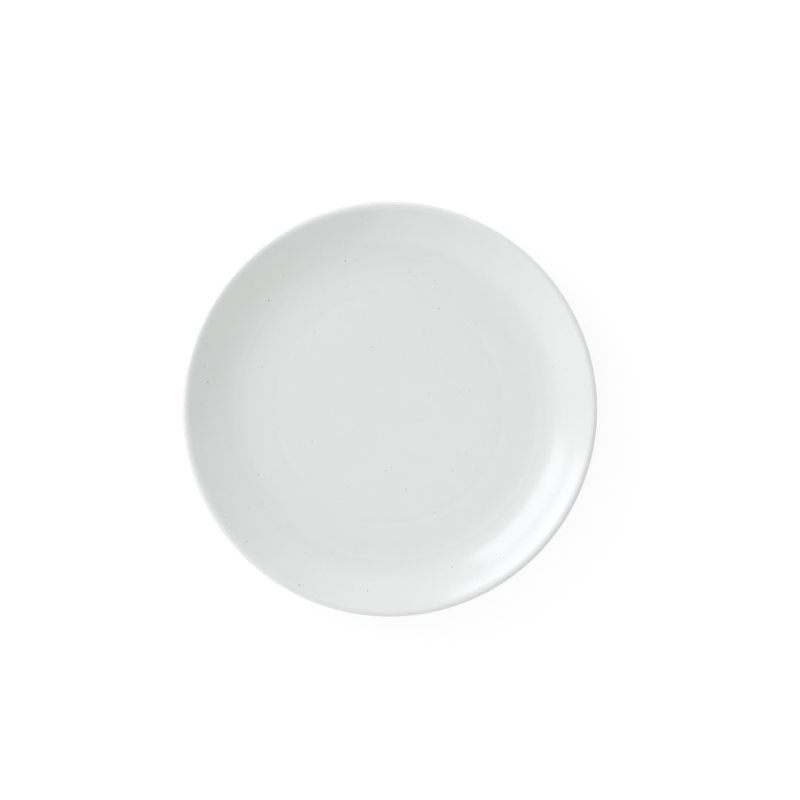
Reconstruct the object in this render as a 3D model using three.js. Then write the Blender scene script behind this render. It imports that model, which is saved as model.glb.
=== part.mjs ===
// A white coupe plate: a fired clay body with a turned foot ring, under a skin of satin glaze.
// Millimetres, +Z up. The origin is on the plate's axis, in the plane that the foot stands on.
import * as THREE from 'three';

// Sizes of the finished plate, glaze included.
const PLATE_DIAMETER = 162; // over the lip
const PLATE_HEIGHT = 20; // from the table to the top of the lip
const LIP_THICKNESS = 2.8; // the lip's outer half is round
const SHOULDER_RADIUS = 3.2; // eases the wall's face into the crest of the lip
const SHOULDER_SLOPE = 15; // degrees, where the shoulder runs into the lip's round
const FLOOR_THICKNESS = 4.6; // through the flat well
const WELL_PAST_FOOT = 4; // flat floor between the foot's cove and the foot of the wall
const GLAZE_THICKNESS = 0.4;

// The foot ring. Its height is the sum of its rounded edge, bare band, glazed band and cove.
const FOOT_DIAMETER = 90; // to the middle of the ring
const FOOT_WIDTH = 4; // bare clay
const FOOT_EDGE_RADIUS = 0.7;
const BARE_BAND_HEIGHT = 0.4; // wiped clean of glaze, above the rounded edge
const GLAZED_BAND_HEIGHT = 0.3;
const FOOT_COVE_RADIUS = 1; // glazed hollow between the foot and the underside

// Facets around the axis and along the curves.
const TURN_STEPS = 48;
const WALL_STEPS = 9;
const LIP_STEPS = 3; // each stretch of the lip: shoulder, crest, outer side and the turn to the back
const COVE_STEPS = 3;
const EDGE_STEPS = 2;

// Radii and heights that follow from the sizes.
const footInside = FOOT_DIAMETER / 2 - FOOT_WIDTH / 2;
const footOutside = FOOT_DIAMETER / 2 + FOOT_WIDTH / 2;
const glazeLine = FOOT_EDGE_RADIUS + BARE_BAND_HEIGHT;
const coveHeight = glazeLine + GLAZED_BAND_HEIGHT;
const undersideHeight = coveHeight + FOOT_COVE_RADIUS;
const wellHeight = undersideHeight + FLOOR_THICKNESS;
const coveInside = footInside - GLAZE_THICKNESS - FOOT_COVE_RADIUS;
const coveOutside = footOutside + GLAZE_THICKNESS + FOOT_COVE_RADIUS;
const wellRadius = coveOutside + WELL_PAST_FOOT;
const lipRadius = LIP_THICKNESS / 2;
const lipCentre = new THREE.Vector2(PLATE_DIAMETER / 2 - lipRadius, PLATE_HEIGHT - lipRadius);
const shoulderSlope = THREE.MathUtils.degToRad(SHOULDER_SLOPE);
const shoulderReach = SHOULDER_RADIUS - lipRadius;
const shoulderCentre = lipCentre.clone().addScaledVector(upright(shoulderSlope), -shoulderReach);

const lipSlope = solveLipSlope();
const wallEnd = shoulderTangent(lipSlope);
const wallRun = wallEnd.x - wellRadius;
const wallRise = wallEnd.y - wellHeight;
const wallEndThickness = lipRadius + wallEnd.clone().sub(lipCentre).dot(upright(lipSlope));

// The direction square to a face that rises outwards with the given slope.
function upright(slope) {
  return new THREE.Vector2(-Math.sin(slope), Math.cos(slope));
}

// The point of the shoulder where a wall of the given slope runs into it.
function shoulderTangent(slope) {
  return shoulderCentre.clone().addScaledVector(upright(slope), SHOULDER_RADIUS);
}

// The wall's slope grows from nothing at the well to twice its mean at the shoulder. The shoulder's tangent
// point depends on that slope, so the two are brought together step by step.
function solveLipSlope() {
  let slope = Math.PI / 4;
  for (let i = 0; i < 40; i++) {
    const end = shoulderTangent(slope);
    slope = Math.atan2(2 * (end.y - wellHeight), end.x - wellRadius);
  }
  return slope;
}

// Eases from 0 to 1 with a level start and end.
function ease(u) {
  return u * u * (3 - 2 * u);
}

// Thickness of the plate along the wall, from the well (u = 0) to the shoulder (u = 1).
function wallThickness(u) {
  return THREE.MathUtils.lerp(FLOOR_THICKNESS, wallEndThickness, ease(u));
}

// A point of the wall's face, sunk by the given depth square to the face.
function wallPoint(u, depth) {
  const normal = new THREE.Vector2(-2 * wallRise * ease(u), wallRun).normalize();
  const face = new THREE.Vector2(wellRadius + wallRun * u, wellHeight + wallRise * u ** 3 * (2 - u));
  return face.addScaledVector(normal, -depth);
}

// The wall from the well out to the shoulder. The depth is a function of the place along the wall.
function wall(depthAt) {
  const places = Array.from({ length: WALL_STEPS + 1 }, (_, i) => i / WALL_STEPS);
  return places.map((u) => wallPoint(u, depthAt(u)));
}

// Points along an arc, in degrees anticlockwise from outwards.
function arc(x, y, radius, from, to, steps) {
  const start = THREE.MathUtils.degToRad(from);
  const end = THREE.MathUtils.degToRad(to);
  return new THREE.EllipseCurve(x, y, radius, radius, start, end, end < start).getPoints(steps);
}

// A stretch of the lip's round, sunk by the given depth.
function lipArc(depth, from, to) {
  return arc(lipCentre.x, lipCentre.y, lipRadius - depth, from, to, LIP_STEPS);
}

// The shoulder, sunk by the given depth.
function shoulderArc(depth) {
  const start = 90 + THREE.MathUtils.radToDeg(lipSlope);
  const radius = SHOULDER_RADIUS - depth;
  return arc(shoulderCentre.x, shoulderCentre.y, radius, start, 90 + SHOULDER_SLOPE, LIP_STEPS);
}

// The lip from the wall over its shoulder and crest to its outermost line.
function upperLip(depth) {
  return [...shoulderArc(depth), ...lipArc(depth, 90 + SHOULDER_SLOPE, 90), ...lipArc(depth, 90, 0)];
}

// The lip from its outermost line to the back of the wall.
function lowerLip(depth) {
  const end = THREE.MathUtils.radToDeg(lipSlope) - 90;
  return lipArc(depth, 0, end);
}

// The eating face, from the axis to the lip's outermost line.
function facePath(depth) {
  return [new THREE.Vector2(0, wellHeight - depth), ...wall(() => depth), ...upperLip(depth)];
}

// The back, from the lip's outermost line to the line on the foot where the glaze stops.
function backPath(depth) {
  return [
    ...lowerLip(depth),
    ...wall((u) => wallThickness(u) - depth).reverse(),
    ...arc(coveOutside, coveHeight, FOOT_COVE_RADIUS + depth, 90, 180, COVE_STEPS),
    new THREE.Vector2(footOutside + GLAZE_THICKNESS - depth, glazeLine),
  ];
}

// The bare ring that stands on the table, from its outside to its inside.
function standingRingPath() {
  const edge = FOOT_EDGE_RADIUS;
  return [
    ...arc(footOutside - edge, edge, edge, 0, -90, EDGE_STEPS),
    ...arc(footInside + edge, edge, edge, -90, -180, EDGE_STEPS),
  ];
}

// The recess inside the foot, from the axis to the line on the foot where the glaze stops.
function recessPath(depth) {
  return [
    new THREE.Vector2(0, undersideHeight + depth),
    ...arc(coveInside, coveHeight, FOOT_COVE_RADIUS + depth, 90, 0, COVE_STEPS),
    new THREE.Vector2(footInside - GLAZE_THICKNESS + depth, glazeLine),
  ];
}

// A skin of glaze between a finished surface and the clay under it.
function skin(path) {
  const clay = path(GLAZE_THICKNESS);
  return [...path(0), ...clay.reverse()];
}

// A ring has no point on the axis, so its profile closes on itself.
function closed(profile) {
  return [...profile, profile[0].clone()];
}

// Turns a profile about the Z axis into a named solid.
function turned(name, profile, material) {
  const points = profile.filter((p, i) => i === 0 || p.distanceTo(profile[i - 1]) > 1e-6);
  const geometry = new THREE.LatheGeometry(points.reverse(), TURN_STEPS).rotateX(Math.PI / 2);
  const mesh = new THREE.Mesh(geometry, material);
  mesh.name = name;
  return mesh;
}

function stoneware() {
  return new THREE.MeshStandardMaterial({ color: 0xd9d2c6, roughness: 0.85, metalness: 0 });
}

function satinGlaze() {
  return new THREE.MeshStandardMaterial({ color: 0xe0e2e1, roughness: 0.3, metalness: 0 });
}

const clayProfile = [
  ...facePath(GLAZE_THICKNESS),
  ...backPath(GLAZE_THICKNESS),
  ...standingRingPath(),
  ...recessPath(GLAZE_THICKNESS).reverse(),
];

const plate = new THREE.Group();
plate.name = 'coupe_plate';
plate.add(
  turned('clay_body', clayProfile, stoneware()),
  turned('face_glaze', skin(facePath), satinGlaze()),
  turned('back_glaze', closed(skin(backPath)), satinGlaze()),
  turned('recess_glaze', skin(recessPath).reverse(), satinGlaze()),
);

export default plate;
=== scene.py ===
"""White coupe plate: the visual model, laid out as a Blender add-on and run as a script."""

import math
from collections import namedtuple

import bmesh
import bpy
from bpy.props import FloatProperty, IntProperty, PointerProperty, StringProperty
from mathutils import Matrix, Vector


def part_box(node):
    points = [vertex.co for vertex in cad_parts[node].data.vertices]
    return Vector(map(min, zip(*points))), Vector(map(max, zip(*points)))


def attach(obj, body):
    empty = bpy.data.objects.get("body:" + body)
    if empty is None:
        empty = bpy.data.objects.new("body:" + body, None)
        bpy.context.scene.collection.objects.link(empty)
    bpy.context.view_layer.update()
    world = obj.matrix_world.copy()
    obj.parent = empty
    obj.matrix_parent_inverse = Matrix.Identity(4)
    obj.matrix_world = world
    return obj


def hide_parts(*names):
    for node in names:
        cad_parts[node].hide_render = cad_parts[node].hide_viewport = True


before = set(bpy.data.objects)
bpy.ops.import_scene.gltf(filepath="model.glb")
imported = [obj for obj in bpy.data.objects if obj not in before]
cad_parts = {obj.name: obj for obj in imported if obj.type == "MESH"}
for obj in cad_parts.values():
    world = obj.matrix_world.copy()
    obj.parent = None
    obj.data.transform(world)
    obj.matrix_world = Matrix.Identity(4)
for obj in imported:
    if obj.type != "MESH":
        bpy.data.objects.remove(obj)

bl_info = {
    "name": "Coupe Plate",
    "version": (1, 0, 0),
    "blender": (4, 5, 0),
    "location": "View3D > Sidebar > Plate",
    "description": "Builds a white satin-glazed coupe plate on a pale studio floor",
    "category": "Add Mesh",
}

MM = 0.001
QUARTER_TURN = math.radians(90.0)
WHITE = (1.0, 1.0, 1.0, 1.0)
BODY = "root"

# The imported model's box and the boxes of its layers give the sizes that both models share.
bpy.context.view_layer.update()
FACE_LOW, FACE_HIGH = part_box("face_glaze")
BACK_LOW, BACK_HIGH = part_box("back_glaze")
RECESS_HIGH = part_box("recess_glaze")[1]
CLAY_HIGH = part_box("clay_body")[1]
GLAZE_THICKNESS = FACE_HIGH.x - CLAY_HIGH.x

# Points closer than this are one point, and edges that turn further than this stay sharp.
MERGE_DISTANCE = 0.0001 * MM
SHARP_TURN = math.radians(40.0)

# The plate in the photograph, in pixels of its 800 by 800 frame, and the camera's sensor in millimetres.
IMAGE_PX = 800
PLATE_WIDTH_PX = 415.1
PLATE_CENTRE_PX = (390.0, 409.45)
SENSOR_WIDTH = 36.0

# Patterns of the glaze. The real mottle is about 0.4 mm wide, and is drawn coarser so that it shows.
CLOUD_SIZE = 9.0 * MM
MOTTLE_SIZE = 1.2 * MM
PEEL_SIZE = 1.4 * MM
PEEL_DEPTH = 0.006 * MM
THIN_EDGE = 0.7 * MM
THIN_ROUGHNESS = 0.22
THICK_ROUGHNESS = 0.18

# Iron specks: the spacing of the grains in the clay, the radii of a speck's core and of its soft edge, and
# the share of the grains that melt through the glaze.
SPECK_SPACING = 2.2 * MM
SPECK_CORE = 0.132 * MM
SPECK_EDGE = 0.286 * MM
SPECK_SHARE = 0.6

# How dark the faintest specks are, from 0 for none to 1 for the full speck colour, and the power that makes
# dark ones rare.
FAINTEST_SPECK = 0.06
SPECK_POWER = -0.6

# Patterns of the bare clay. The real grit is about 0.2 mm, and is drawn coarser so that it shows.
CLAY_GRAIN = 0.5 * MM
TURNED_LINE = 0.5 * MM
CLAY_RELIEF = 0.04 * MM
CLAY_ROUGHNESS = 0.85
WAVE_RING = 0.314  # width of one ring of a wave texture whose scale is 1

# Fired glaze and fired clay are both glassy.
CERAMIC_IOR = 1.5

# A Mix node's sockets have the same names for numbers as for colours, so they go by their places.
NUMBER_A, NUMBER_B, NUMBER_MIX = 2, 3, 0
COLOUR_A, COLOUR_B, COLOUR_MIX = 6, 7, 2

# The floor, in metres from the plate's axis: its reach, where the plate's shadow starts to fade from it, and
# where it is plain white.
FLOOR_REACH = 3.0
SHADOW_FLOOR = 0.3
WHITE_FLOOR = 0.9

# Near the plate, plain white is this share of what the eye sees, and its glow makes up for the grey paint.
NEAR_WHITE = 0.75
FLOOR_GLOW = 1.065

# The studio's walls give way to its ceiling between these two heights, as sines above the horizon.
WALLS_END = 0.55
CEILING_START = 0.72

# Each soft box as the plate sees it, in degrees: its middle anticlockwise from the photograph's right, its
# width, and its lower and upper edges above the table.
BoxPlace = namedtuple("BoxPlace", "side width low high")
KEY_PLACE = BoxPlace(side=145.0, width=44.0, low=18.0, high=44.0)
STRIP_PLACE = BoxPlace(side=137.0, width=60.0, low=4.0, high=12.0)
RIGHT_PLACE = BoxPlace(side=45.0, width=80.0, low=4.0, high=48.0)
FRONT_PLACE = BoxPlace(side=235.0, width=80.0, low=4.0, high=48.0)


class PlateSizes(bpy.types.PropertyGroup):
    """Sizes of the plate's cross-section."""

    rim_radius: FloatProperty(
        name="Rim Radius", description="From the axis to the lip's outermost line",
        default=FACE_HIGH.x, unit="LENGTH",
    )
    height: FloatProperty(
        name="Height", description="From the table to the crest of the lip",
        default=FACE_HIGH.z, unit="LENGTH",
    )
    lip_radius: FloatProperty(
        name="Lip Radius", description="Radius of the lip's round",
        default=FACE_HIGH.z - BACK_HIGH.z, unit="LENGTH",
    )
    shoulder_radius: FloatProperty(
        name="Shoulder Radius", description="Radius that eases the wall's face into the crest of the lip",
        default=3.2 * MM, unit="LENGTH",
    )
    shoulder_slope: FloatProperty(
        name="Shoulder Slope", description="Slope at which the shoulder runs into the lip's round",
        default=math.radians(15.0), subtype="ANGLE",
    )
    glaze_thickness: FloatProperty(
        name="Glaze Thickness", description="Thickness of each coat of glaze",
        default=GLAZE_THICKNESS, unit="LENGTH",
    )
    well_height: FloatProperty(
        name="Well Height", description="From the table to the flat well",
        default=FACE_LOW.z + GLAZE_THICKNESS, unit="LENGTH",
    )
    underside_height: FloatProperty(
        name="Underside Height", description="From the table to the underside around the foot",
        default=RECESS_HIGH.z - GLAZE_THICKNESS, unit="LENGTH",
    )
    glaze_line: FloatProperty(
        name="Glaze Line", description="Height on the foot below which the glaze is wiped off",
        default=BACK_LOW.z, unit="LENGTH",
    )
    foot_inside: FloatProperty(
        name="Foot Inside", description="Inner radius of the bare foot ring",
        default=RECESS_HIGH.x, unit="LENGTH",
    )
    foot_width: FloatProperty(
        name="Foot Width", description="Width of the bare foot ring",
        default=4.0 * MM, unit="LENGTH",
    )
    foot_edge_radius: FloatProperty(
        name="Foot Edge Radius", description="Rounding of the foot's two edges",
        default=0.7 * MM, unit="LENGTH",
    )
    foot_cove_radius: FloatProperty(
        name="Foot Cove Radius", description="Hollow between the foot and the underside",
        default=1.0 * MM, unit="LENGTH",
    )
    well_past_foot: FloatProperty(
        name="Well Past Foot", description="Flat floor from the foot's cove to the start of the wall",
        default=4.0 * MM, unit="LENGTH",
    )
    groove_radius: FloatProperty(
        name="Groove Radius", description="Radius of the faint groove in the well, over the foot ring",
        default=45.1 * MM, unit="LENGTH",
    )
    groove_width: FloatProperty(
        name="Groove Width", description="From the middle of the faint groove to its edge",
        default=1.5 * MM, unit="LENGTH",
    )
    groove_depth: FloatProperty(
        name="Groove Depth", description="Depth of the faint groove in the well",
        default=0.1 * MM, unit="LENGTH",
    )
    ridge_radius: FloatProperty(
        name="Ridge Radius", description="Radius of the faint ridge low on the wall",
        default=60.2 * MM, unit="LENGTH",
    )
    ridge_width: FloatProperty(
        name="Ridge Width", description="From the middle of the faint ridge to its edge",
        default=1.3 * MM, unit="LENGTH",
    )
    ridge_height: FloatProperty(
        name="Ridge Height", description="Height of the faint ridge",
        default=0.1 * MM, unit="LENGTH",
    )
    turn_steps: IntProperty(
        name="Turn Steps", description="Faces around the plate's axis", default=192, min=16,
    )


class PlateFinish(bpy.types.PropertyGroup):
    """Colours of the glaze, the clay and the floor, as sRGB hex values."""

    glaze_light: StringProperty(name="Glaze", description="White of the glaze", default="#DEE0DF")
    glaze_shade: StringProperty(
        name="Glaze Cloud", description="Slightly greyer white of the clouds in the glaze",
        default="#DADCDA",
    )
    glaze_edge: StringProperty(
        name="Glaze Edge", description="Warmer white where the glaze thins at the foot", default="#CFC6B6",
    )
    speck: StringProperty(name="Speck", description="Iron specks in the glaze", default="#4A443C")
    clay_light: StringProperty(name="Clay", description="Bare fired clay", default="#D9D2C6")
    clay_shade: StringProperty(name="Clay Grain", description="Darker grains of the clay", default="#B9AFA0")
    floor: StringProperty(name="Floor", description="Pale studio floor", default="#F4F4F4")


class PlateStage(bpy.types.PropertyGroup):
    """The camera and the light."""

    # The plate is round, so the turn leaves the photograph's view as it is. It keeps the key's reflection
    # out of the well as seen from the sides.
    turn: FloatProperty(
        name="Turn", description="Turns the camera and the lights about the plate's axis",
        default=math.radians(30.0), subtype="ANGLE",
    )
    camera_distance: FloatProperty(
        name="Camera Distance", description="From the camera to the rim", default=1.0, unit="LENGTH",
    )
    camera_tilt: FloatProperty(
        name="Camera Tilt", description="How far the view leans from straight down",
        default=math.radians(1.5), subtype="ANGLE",
    )
    camera_side: FloatProperty(
        name="Camera Side", description="Direction the camera leans to, from the photograph's right",
        default=math.radians(138.0), subtype="ANGLE",
    )
    overhead_level: FloatProperty(
        name="Overhead", description="Brightness of the ceiling, where 1 is white", default=0.835,
    )
    wall_level: FloatProperty(
        name="Walls", description="Brightness of the studio's walls, where 1 is white", default=0.47,
    )
    box_distance: FloatProperty(
        name="Soft Box Distance", description="From the plate to each soft box", default=1.2, unit="LENGTH",
    )
    key_colour: StringProperty(
        name="Key Colour", description="Faintly cool white of the key and its strip", default="#FAF9FF",
    )
    fill_colour: StringProperty(
        name="Fill Colour", description="White of the other soft boxes", default="#FFFFFF",
    )
    key_level: FloatProperty(
        name="Key", description="Brightness of the soft box at the upper left", default=2.95,
    )
    strip_level: FloatProperty(
        name="Strip", description="Brightness of the low strip under the key", default=4.85,
    )
    right_level: FloatProperty(
        name="Right", description="Brightness of the soft box at the upper right", default=0.6,
    )
    front_level: FloatProperty(
        name="Front", description="Brightness of the soft box at the lower left", default=0.85,
    )


class Outline:
    """The plate's cross-section: points (distance from the axis, height) in metres."""

    FLOOR_STEPS = 100
    WALL_STEPS = 72
    LIP_STEPS = 14
    COVE_STEPS = 8
    EDGE_STEPS = 6
    SLOPE_ROUNDS = 40

    def __init__(self, sizes):
        self.sizes = sizes
        self.glaze = sizes.glaze_thickness
        self.floor_thickness = sizes.well_height - sizes.underside_height
        self.foot_inside = sizes.foot_inside
        self.foot_outside = sizes.foot_inside + sizes.foot_width
        self.cove_height = sizes.underside_height - sizes.foot_cove_radius
        self.cove_inside = self.foot_inside - self.glaze - sizes.foot_cove_radius
        self.cove_outside = self.foot_outside + self.glaze + sizes.foot_cove_radius
        self.well_radius = self.cove_outside + sizes.well_past_foot
        self.lip_centre = Vector((sizes.rim_radius - sizes.lip_radius, sizes.height - sizes.lip_radius))
        reach = sizes.shoulder_radius - sizes.lip_radius
        self.shoulder_centre = self.lip_centre - reach * upright(sizes.shoulder_slope)
        self.lip_slope = self.solve_lip_slope()
        wall_end = self.shoulder_tangent(self.lip_slope)
        self.wall_run = wall_end.x - self.well_radius
        self.wall_rise = wall_end.y - sizes.well_height
        self.end_thickness = sizes.lip_radius + (wall_end - self.lip_centre).dot(upright(self.lip_slope))

    def shoulder_tangent(self, slope):
        """The point of the shoulder where a wall of this slope runs into it."""
        return self.shoulder_centre + self.sizes.shoulder_radius * upright(slope)

    def solve_lip_slope(self):
        """The wall's slope at the shoulder is twice its mean, and moves the point where the two meet."""
        slope = QUARTER_TURN / 2.0
        for _ in range(self.SLOPE_ROUNDS):
            end = self.shoulder_tangent(slope)
            slope = math.atan2(2.0 * (end.y - self.sizes.well_height), end.x - self.well_radius)
        return slope

    def wall_thickness(self, u):
        """Thickness of the plate along the wall, from the well (0) to the shoulder (1)."""
        return self.floor_thickness + (self.end_thickness - self.floor_thickness) * ease(u)

    def wall_point(self, u, depth):
        """A point of the wall's face, sunk by a depth square to the face."""
        normal = Vector((-2.0 * self.wall_rise * ease(u), self.wall_run)).normalized()
        rise = self.wall_rise * u ** 3 * (2.0 - u)
        face = Vector((self.well_radius + self.wall_run * u, self.sizes.well_height + rise))
        return face - depth * normal

    def wall(self, depth_at):
        """The wall from the well to the shoulder, at a depth that may change along it."""
        places = [i / self.WALL_STEPS for i in range(self.WALL_STEPS + 1)]
        return [self.wall_point(u, depth_at(u)) for u in places]

    def lip(self, depth, start, end):
        """A stretch of the lip's round, sunk by a depth."""
        return arc(self.lip_centre, self.sizes.lip_radius - depth, start, end, self.LIP_STEPS)

    def face(self, depth):
        """The eating face, from the axis to the lip's outermost line."""
        step = self.well_radius / self.FLOOR_STEPS
        level = self.sizes.well_height - depth
        well = [Vector((step * i, level)) for i in range(self.FLOOR_STEPS)]
        crest = QUARTER_TURN
        start, end = crest + self.lip_slope, crest + self.sizes.shoulder_slope
        shoulder = arc(self.shoulder_centre, self.sizes.shoulder_radius - depth, start, end, self.LIP_STEPS)
        lip = self.lip(depth, end, crest) + self.lip(depth, crest, 0.0)
        return well + self.wall(lambda u: depth) + shoulder + lip

    def finished_face(self):
        """The eating face with the faint groove over the foot ring and the faint ridge low on the wall."""
        return [Vector((p.x, p.y + self.relief(p.x))) for p in self.face(0.0)]

    def relief(self, radius):
        """Height of the faint turned rings in the face."""
        sizes = self.sizes
        groove = ring_bump(radius, sizes.groove_radius, sizes.groove_width)
        ridge = ring_bump(radius, sizes.ridge_radius, sizes.ridge_width)
        return sizes.ridge_height * ridge - sizes.groove_depth * groove

    def back(self, depth):
        """The back, from the lip's outermost line to the end of the foot's cove."""
        end = self.lip_slope - QUARTER_TURN
        centre = Vector((self.cove_outside, self.cove_height))
        radius = self.sizes.foot_cove_radius + depth
        wall = self.wall(lambda u: self.wall_thickness(u) - depth)
        cove = arc(centre, radius, QUARTER_TURN, 2.0 * QUARTER_TURN, self.COVE_STEPS)
        return self.lip(depth, 0.0, end) + wall[::-1] + cove

    def recess(self, depth):
        """The recess inside the foot, from the axis to the end of the foot's cove."""
        centre = Vector((self.cove_inside, self.cove_height))
        radius = self.sizes.foot_cove_radius + depth
        cove = arc(centre, radius, QUARTER_TURN, 0.0, self.COVE_STEPS)
        return [Vector((0.0, self.sizes.underside_height + depth))] + cove

    def glaze_edge(self, foot_radius, outwards):
        """The rolled edge of a glaze coat, from its cove to the clay at the glaze line."""
        width = outwards * self.glaze
        drop = self.cove_height - self.sizes.glaze_line
        turn = [QUARTER_TURN * i / self.EDGE_STEPS for i in range(self.EDGE_STEPS + 1)]
        return [
            Vector((foot_radius + width * math.cos(a), self.cove_height - drop * math.sin(a)))
            for a in turn
        ]

    def standing_ring(self):
        """The bare ring that stands on the table, from its outside to its inside."""
        edge = self.sizes.foot_edge_radius
        outer = Vector((self.foot_outside - edge, edge))
        inner = Vector((self.foot_inside + edge, edge))
        down, side = -QUARTER_TURN, -2.0 * QUARTER_TURN
        return arc(outer, edge, 0.0, down, self.EDGE_STEPS) + arc(inner, edge, down, side, self.EDGE_STEPS)


def upright(slope):
    """The direction square to a face that rises outwards with this slope."""
    return Vector((-math.sin(slope), math.cos(slope)))


def ease(u):
    """Eases from 0 to 1 with a level start and end."""
    return u * u * (3.0 - 2.0 * u)


def ring_bump(radius, middle, width):
    """A smooth bump, 1 high, around a ring of the plate."""
    return math.exp(-(((radius - middle) / width) ** 2))


def arc(centre, radius, start, end, steps):
    """Points along an arc, with angles anticlockwise from outwards."""
    turn = [start + (end - start) * i / steps for i in range(steps + 1)]
    return [centre + radius * Vector((math.cos(a), math.sin(a))) for a in turn]


def turned_piece(name, outline, closed, steps):
    """Turns an outline about the Z axis into a smooth closed mesh object."""
    mesh = bmesh.new()
    points = [mesh.verts.new((p.x, 0.0, p.y)) for p in outline]
    for pair in zip(points, points[1:]):
        mesh.edges.new(pair)
    if closed:
        mesh.edges.new((points[-1], points[0]))
    bmesh.ops.remove_doubles(mesh, verts=mesh.verts, dist=MERGE_DISTANCE)
    profile = mesh.verts[:] + mesh.edges[:]
    bmesh.ops.spin(
        mesh, geom=profile, cent=(0.0, 0.0, 0.0), axis=(0.0, 0.0, 1.0),
        angle=4.0 * QUARTER_TURN, steps=steps, use_merge=True,
    )
    bmesh.ops.remove_doubles(mesh, verts=mesh.verts, dist=MERGE_DISTANCE)
    bmesh.ops.recalc_face_normals(mesh, faces=mesh.faces)
    for face in mesh.faces:
        face.smooth = True
    for edge in mesh.edges:
        edge.smooth = edge.calc_face_angle(0.0) < SHARP_TURN
    return mesh_object(name, mesh)


def mesh_object(name, mesh):
    """A new object in the scene that holds a finished bmesh."""
    made = bpy.data.objects.new(name, bpy.data.meshes.new(name))
    mesh.to_mesh(made.data)
    mesh.free()
    bpy.context.scene.collection.objects.link(made)
    return made


def install(piece, material, node):
    """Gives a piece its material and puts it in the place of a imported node."""
    piece.data.materials.append(material)
    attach(piece, BODY)
    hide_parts(node)


def linear(hex_colour):
    """An sRGB hex value as a linear RGBA colour."""
    parts = [int(hex_colour[i:i + 2], 16) / 255.0 for i in (1, 3, 5)]
    return [c / 12.92 if c <= 0.04045 else ((c + 0.055) / 1.055) ** 2.4 for c in parts] + [1.0]


def add_node(tree, kind, inputs=None, **properties):
    """Adds a node. Properties set its options, and inputs set its sockets or link them."""
    made = tree.nodes.new(kind)
    for name, value in properties.items():
        setattr(made, name, value)
    for key, value in (inputs or {}).items():
        if isinstance(value, bpy.types.NodeSocket):
            tree.links.new(value, made.inputs[key])
        else:
            made.inputs[key].default_value = value
    return made


def empty_material(name):
    """A material with no nodes, and its node tree."""
    material = bpy.data.materials.new(name)
    material.use_nodes = True
    material.node_tree.nodes.clear()
    return material, material.node_tree


def satin_glaze(finish, sizes):
    """Opaque white stoneware glaze, sprayed on and fired to a satin.

    It gives soft wide highlights, faint greyer clouds where the coat is thinner, a few iron specks that have
    melted through from the clay, and a warmer rolled edge where it was wiped off the foot.
    """
    material, tree = empty_material("white_satin_glaze")
    place = add_node(tree, "ShaderNodeTexCoord").outputs["Object"]

    # The clouds, a fine mottle and the specks.
    cloud = add_node(tree, "ShaderNodeTexNoise", {"Vector": place, "Scale": 1.0 / CLOUD_SIZE, "Detail": 3.0})
    mottle = add_node(
        tree, "ShaderNodeTexNoise", {"Vector": place, "Scale": 1.0 / MOTTLE_SIZE, "Detail": 1.0},
    )
    blend = add_node(
        tree, "ShaderNodeMix",
        {"Factor": 0.5, NUMBER_A: cloud.outputs["Fac"], NUMBER_B: mottle.outputs["Fac"]},
    )
    tone = add_node(
        tree, "ShaderNodeMix",
        {
            "Factor": blend.outputs[NUMBER_MIX], COLOUR_A: linear(finish.glaze_shade),
            COLOUR_B: linear(finish.glaze_light),
        },
        data_type="RGBA",
    )
    speck = iron_specks(tree, place)
    specked = add_node(
        tree, "ShaderNodeMix",
        {"Factor": speck, COLOUR_A: tone.outputs[COLOUR_MIX], COLOUR_B: linear(finish.speck)},
        data_type="RGBA",
    )

    # The warmer edge at the foot, where the coat thins out.
    height = add_node(tree, "ShaderNodeSeparateXYZ", {"Vector": place}).outputs["Z"]
    thin = add_node(
        tree, "ShaderNodeMapRange",
        {
            "Value": height, "From Min": sizes.glaze_line, "From Max": sizes.glaze_line + THIN_EDGE,
            "To Min": 1.0, "To Max": 0.0,
        },
    )
    colour = add_node(
        tree, "ShaderNodeMix",
        {
            "Factor": thin.outputs[0], COLOUR_A: specked.outputs[COLOUR_MIX],
            COLOUR_B: linear(finish.glaze_edge),
        },
        data_type="RGBA",
    )

    # The satin, a little glossier where the coat is thick, and the faint peel of a sprayed coat.
    satin = add_node(
        tree, "ShaderNodeMapRange",
        {"Value": cloud.outputs["Fac"], "To Min": THIN_ROUGHNESS, "To Max": THICK_ROUGHNESS},
    )
    peel = add_node(tree, "ShaderNodeTexNoise", {"Vector": place, "Scale": 1.0 / PEEL_SIZE, "Detail": 2.0})
    bump = add_node(tree, "ShaderNodeBump", {"Distance": PEEL_DEPTH, "Height": peel.outputs["Fac"]})
    shader = add_node(
        tree, "ShaderNodeBsdfPrincipled",
        {
            "Base Color": colour.outputs[COLOUR_MIX], "Roughness": satin.outputs[0], "IOR": CERAMIC_IOR,
            "Normal": bump.outputs["Normal"],
        },
    )
    add_node(tree, "ShaderNodeOutputMaterial", {"Surface": shader.outputs[0]})
    return material


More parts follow.
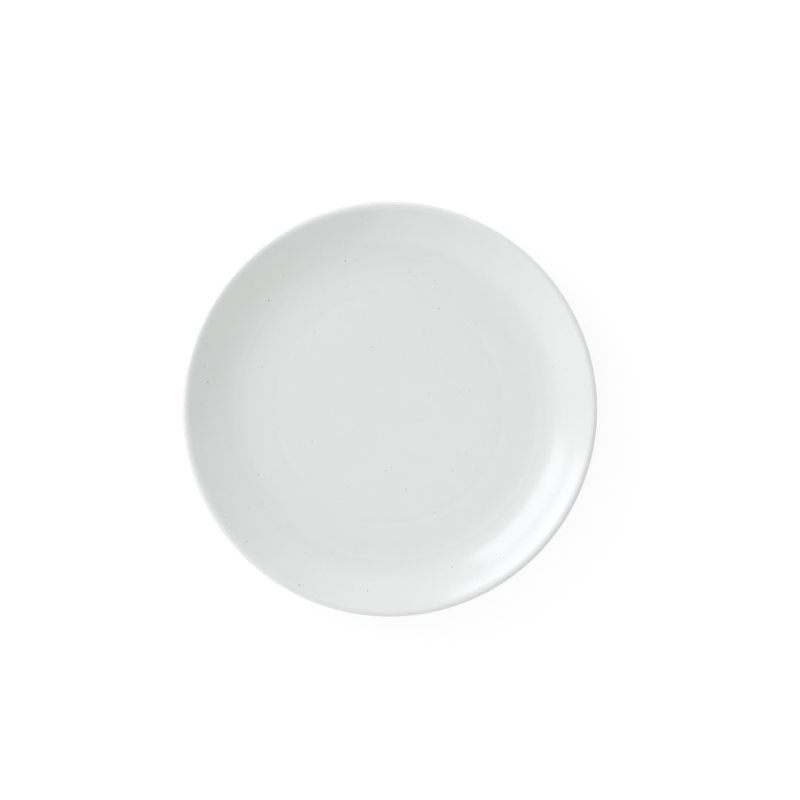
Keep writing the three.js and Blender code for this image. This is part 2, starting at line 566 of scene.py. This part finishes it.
def iron_specks(tree, place):
    """Strength of the iron specks: round spots on some of the grains, many faint and few dark."""
    grit = add_node(
        tree, "ShaderNodeTexVoronoi", {"Vector": place, "Scale": 1.0 / SPECK_SPACING}, feature="F1",
    )
    pick = add_node(tree, "ShaderNodeSeparateColor", {"Color": grit.outputs["Color"]})
    chosen = add_node(
        tree, "ShaderNodeMath", {0: pick.outputs["Red"], 1: 1.0 - SPECK_SHARE}, operation="GREATER_THAN",
    )
    spot = add_node(
        tree, "ShaderNodeMapRange",
        {
            "Value": grit.outputs["Distance"], "From Min": SPECK_CORE / SPECK_SPACING,
            "From Max": SPECK_EDGE / SPECK_SPACING, "To Min": 1.0, "To Max": 0.0,
        },
    )
    rarity = add_node(tree, "ShaderNodeMath", {0: pick.outputs["Green"], 1: SPECK_POWER}, operation="POWER")
    depth = add_node(
        tree, "ShaderNodeMath", {0: rarity.outputs[0], 1: FAINTEST_SPECK},
        operation="MULTIPLY", use_clamp=True,
    )
    weak = add_node(tree, "ShaderNodeMath", {0: spot.outputs[0], 1: depth.outputs[0]}, operation="MULTIPLY")
    speck = add_node(
        tree, "ShaderNodeMath", {0: weak.outputs[0], 1: chosen.outputs[0]}, operation="MULTIPLY",
    )
    return speck.outputs[0]


def bare_stoneware(finish):
    """Fired stoneware with no glaze, wiped and ground: a dry, matt, sandy surface with turned lines."""
    material, tree = empty_material("bare_stoneware")
    place = add_node(tree, "ShaderNodeTexCoord").outputs["Object"]
    grain = add_node(tree, "ShaderNodeTexNoise", {"Vector": place, "Scale": 1.0 / CLAY_GRAIN, "Detail": 4.0})
    lines = add_node(
        tree, "ShaderNodeTexWave", {"Vector": place, "Scale": WAVE_RING / TURNED_LINE, "Distortion": 1.5},
        wave_type="RINGS", rings_direction="Z",
    )
    mixed = add_node(
        tree, "ShaderNodeMath", {0: grain.outputs["Fac"], 1: lines.outputs["Fac"]}, operation="MULTIPLY",
    )
    colour = add_node(
        tree, "ShaderNodeMix",
        {
            "Factor": mixed.outputs[0], COLOUR_A: linear(finish.clay_light),
            COLOUR_B: linear(finish.clay_shade),
        },
        data_type="RGBA",
    )
    bump = add_node(tree, "ShaderNodeBump", {"Distance": CLAY_RELIEF, "Height": mixed.outputs[0]})
    shader = add_node(
        tree, "ShaderNodeBsdfPrincipled",
        {
            "Base Color": colour.outputs[COLOUR_MIX], "Roughness": CLAY_ROUGHNESS, "IOR": CERAMIC_IOR,
            "Normal": bump.outputs["Normal"],
        },
    )
    add_node(tree, "ShaderNodeOutputMaterial", {"Surface": shader.outputs[0]})
    return material


def glaze_material(context):
    """The glaze that all three coats share."""
    ready = bpy.data.materials.get("white_satin_glaze")
    return ready or satin_glaze(context.scene.plate_finish, context.scene.plate_sizes)


class PLATE_OT_clay_body(bpy.types.Operator):
    """Turn the fired clay body with its foot ring"""

    bl_idname = "plate.clay_body"
    bl_label = "Clay Body"

    def execute(self, context):
        sizes = context.scene.plate_sizes
        outline = Outline(sizes)
        depth = outline.glaze
        points = outline.face(depth) + outline.back(depth)
        points += outline.standing_ring() + outline.recess(depth)[::-1]
        piece = turned_piece("stoneware_body", points, False, sizes.turn_steps)
        install(piece, bare_stoneware(context.scene.plate_finish), "clay_body")
        return {"FINISHED"}


class PLATE_OT_face_glaze(bpy.types.Operator):
    """Turn the coat of glaze over the eating face and the upper half of the lip"""

    bl_idname = "plate.face_glaze"
    bl_label = "Face Glaze"

    def execute(self, context):
        sizes = context.scene.plate_sizes
        outline = Outline(sizes)
        points = outline.finished_face() + outline.face(outline.glaze)[::-1]
        piece = turned_piece("glazed_face", points, False, sizes.turn_steps)
        install(piece, glaze_material(context), "face_glaze")
        return {"FINISHED"}


class PLATE_OT_back_glaze(bpy.types.Operator):
    """Turn the coat of glaze from the lip down to the outside of the foot"""

    bl_idname = "plate.back_glaze"
    bl_label = "Back Glaze"

    def execute(self, context):
        sizes = context.scene.plate_sizes
        outline = Outline(sizes)
        edge = outline.glaze_edge(outline.foot_outside, 1.0)
        points = outline.back(0.0) + edge + outline.back(outline.glaze)[::-1]
        piece = turned_piece("glazed_back", points, True, sizes.turn_steps)
        install(piece, glaze_material(context), "back_glaze")
        return {"FINISHED"}


class PLATE_OT_recess_glaze(bpy.types.Operator):
    """Turn the disc of glaze inside the foot ring"""

    bl_idname = "plate.recess_glaze"
    bl_label = "Recess Glaze"

    def execute(self, context):
        sizes = context.scene.plate_sizes
        outline = Outline(sizes)
        edge = outline.glaze_edge(outline.foot_inside, -1.0)
        points = outline.recess(0.0) + edge + outline.recess(outline.glaze)[::-1]
        piece = turned_piece("glazed_recess", points, False, sizes.turn_steps)
        install(piece, glaze_material(context), "recess_glaze")
        return {"FINISHED"}


def studio_floor(finish):
    """Pale painted floor that looks white to the eye, and takes the plate's shadow around the plate."""
    material, tree = empty_material("pale_floor")
    place = add_node(tree, "ShaderNodeTexCoord").outputs["Object"]
    away = add_node(tree, "ShaderNodeVectorMath", {0: place}, operation="LENGTH").outputs["Value"]
    white = add_node(
        tree, "ShaderNodeMapRange",
        {
            "Value": away, "From Min": SHADOW_FLOOR, "From Max": WHITE_FLOOR,
            "To Min": NEAR_WHITE, "To Max": 1.0,
        },
    )
    paint = add_node(tree, "ShaderNodeBsdfDiffuse", {"Color": linear(finish.floor)})
    glow = add_node(tree, "ShaderNodeEmission", {"Strength": FLOOR_GLOW})
    seen = add_node(
        tree, "ShaderNodeMath", {0: seen_directly(tree), 1: white.outputs[0]}, operation="MULTIPLY",
    )
    mixed = add_node(
        tree, "ShaderNodeMixShader", {"Fac": seen.outputs[0], 1: paint.outputs[0], 2: glow.outputs[0]},
    )
    add_node(tree, "ShaderNodeOutputMaterial", {"Surface": mixed.outputs[0]})
    return material


def seen_directly(tree):
    """1 for what the eye sees straight, in a reflection or through glass, and 0 for the light that falls."""
    path = add_node(tree, "ShaderNodeLightPath").outputs
    mirrored = add_node(
        tree, "ShaderNodeMath", {0: path["Is Camera Ray"], 1: path["Is Glossy Ray"]}, operation="MAXIMUM",
    )
    seen = add_node(
        tree, "ShaderNodeMath", {0: mirrored.outputs[0], 1: path["Is Transmission Ray"]},
        operation="MAXIMUM",
    )
    return seen.outputs[0]


def soft_world(stage):
    """Soft light from all around, stronger from the ceiling than from the walls, and white to the eye."""
    world = bpy.data.worlds.new("soft_studio")
    world.use_nodes = True
    tree = world.node_tree
    tree.nodes.clear()
    place = add_node(tree, "ShaderNodeTexCoord").outputs["Generated"]
    height = add_node(tree, "ShaderNodeSeparateXYZ", {"Vector": place}).outputs["Z"]
    level = add_node(
        tree, "ShaderNodeMapRange",
        {
            "Value": height, "From Min": WALLS_END, "From Max": CEILING_START,
            "To Min": stage.wall_level, "To Max": stage.overhead_level,
        },
    )
    light = add_node(tree, "ShaderNodeBackground", {"Color": WHITE, "Strength": level.outputs[0]})
    white = add_node(tree, "ShaderNodeBackground", {"Color": WHITE, "Strength": 1.0})
    mixed = add_node(
        tree, "ShaderNodeMixShader", {"Fac": seen_directly(tree), 1: light.outputs[0], 2: white.outputs[0]},
    )
    add_node(tree, "ShaderNodeOutputWorld", {"Surface": mixed.outputs[0]})
    return world


def soft_box(name, colour, level, place, stage):
    """A rectangular soft box that faces the plate. Its level is its brightness, where 1 is white."""
    distance = stage.box_distance
    lamp = bpy.data.lights.new(name, "AREA")
    lamp.color = linear(colour)[:3]
    lamp.shape = "RECTANGLE"
    lamp.size = 2.0 * distance * math.tan(math.radians(place.width) / 2.0)
    lamp.size_y = 2.0 * distance * math.tan(math.radians(place.high - place.low) / 2.0)
    lamp.energy = level * math.pi * lamp.size * lamp.size_y
    back = direction(stage.turn + math.radians(place.side), math.radians(place.low + place.high) / 2.0)
    made = bpy.data.objects.new(name, lamp)
    made.location = distance * back
    made.rotation_euler = (-back).to_track_quat("-Z", "Y").to_euler()
    made.visible_camera = False
    bpy.context.scene.collection.objects.link(made)


def direction(side, height):
    """A unit vector at an angle from +X and an angle above the table."""
    flat = math.cos(height)
    return Vector((flat * math.cos(side), flat * math.sin(side), math.sin(height)))


def photo_camera(stage, sizes):
    """A camera that leans a little from straight down and frames the rim as the photograph does."""
    frame_width = IMAGE_PX * 2.0 * sizes.rim_radius / PLATE_WIDTH_PX
    px = frame_width / IMAGE_PX
    back = direction(stage.turn + stage.camera_side, QUARTER_TURN - stage.camera_tilt)
    top = direction(stage.turn + QUARTER_TURN, 0.0)
    right = top.cross(back).normalized()
    up = back.cross(right)
    rim = Vector((0.0, 0.0, sizes.height - sizes.lip_radius))
    offset = Vector((IMAGE_PX / 2.0 - PLATE_CENTRE_PX[0], PLATE_CENTRE_PX[1] - IMAGE_PX / 2.0))
    aim = rim + px * (offset.x * right + offset.y * up)
    lens = bpy.data.cameras.new("photo_camera")
    lens.sensor_width = SENSOR_WIDTH
    lens.lens = SENSOR_WIDTH * stage.camera_distance / frame_width
    made = bpy.data.objects.new("photo_camera", lens)
    turn = Matrix((right, up, back)).transposed().to_4x4()
    made.matrix_world = Matrix.Translation(aim + stage.camera_distance * back) @ turn
    bpy.context.scene.collection.objects.link(made)
    return made


class PLATE_OT_stage(bpy.types.Operator):
    """Add the pale floor, the soft light and the camera"""

    bl_idname = "plate.stage"
    bl_label = "Stage"

    def execute(self, context):
        scene = context.scene
        stage = scene.plate_stage
        mesh = bmesh.new()
        bmesh.ops.create_grid(mesh, x_segments=1, y_segments=1, size=FLOOR_REACH)
        floor = mesh_object("floor", mesh)
        floor.data.materials.append(studio_floor(scene.plate_finish))
        scene.world = soft_world(stage)
        soft_box("key_soft_box", stage.key_colour, stage.key_level, KEY_PLACE, stage)
        soft_box("key_strip", stage.key_colour, stage.strip_level, STRIP_PLACE, stage)
        soft_box("right_soft_box", stage.fill_colour, stage.right_level, RIGHT_PLACE, stage)
        soft_box("front_soft_box", stage.fill_colour, stage.front_level, FRONT_PLACE, stage)
        scene.camera = photo_camera(stage, scene.plate_sizes)
        scene.view_settings.view_transform = "Standard"
        return {"FINISHED"}


class PLATE_PT_panel(bpy.types.Panel):
    """Buttons and settings of the coupe plate"""

    bl_label = "Coupe Plate"
    bl_idname = "PLATE_PT_panel"
    bl_space_type = "VIEW_3D"
    bl_region_type = "UI"
    bl_category = "Plate"

    def draw(self, context):
        layout = self.layout
        for step in STEPS:
            layout.operator(step.bl_idname)
        for group in (context.scene.plate_sizes, context.scene.plate_finish, context.scene.plate_stage):
            box = layout.box()
            for name in group.__annotations__:
                box.prop(group, name)


STEPS = (PLATE_OT_clay_body, PLATE_OT_face_glaze, PLATE_OT_back_glaze, PLATE_OT_recess_glaze, PLATE_OT_stage)
CLASSES = (PlateSizes, PlateFinish, PlateStage) + STEPS + (PLATE_PT_panel,)


def register():
    """Adds the classes, and the plate's settings to the scene."""
    for cls in CLASSES:
        bpy.utils.register_class(cls)
    bpy.types.Scene.plate_sizes = PointerProperty(type=PlateSizes)
    bpy.types.Scene.plate_finish = PointerProperty(type=PlateFinish)
    bpy.types.Scene.plate_stage = PointerProperty(type=PlateStage)


def unregister():
    """Takes the settings and the classes away again."""
    del bpy.types.Scene.plate_stage
    del bpy.types.Scene.plate_finish
    del bpy.types.Scene.plate_sizes
    for cls in reversed(CLASSES):
        bpy.utils.unregister_class(cls)


def main():
    """Registers the add-on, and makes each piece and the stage."""
    register()
    bpy.ops.plate.clay_body()
    bpy.ops.plate.face_glaze()
    bpy.ops.plate.back_glaze()
    bpy.ops.plate.recess_glaze()
    bpy.ops.plate.stage()


if __name__ == "__main__":
    main()
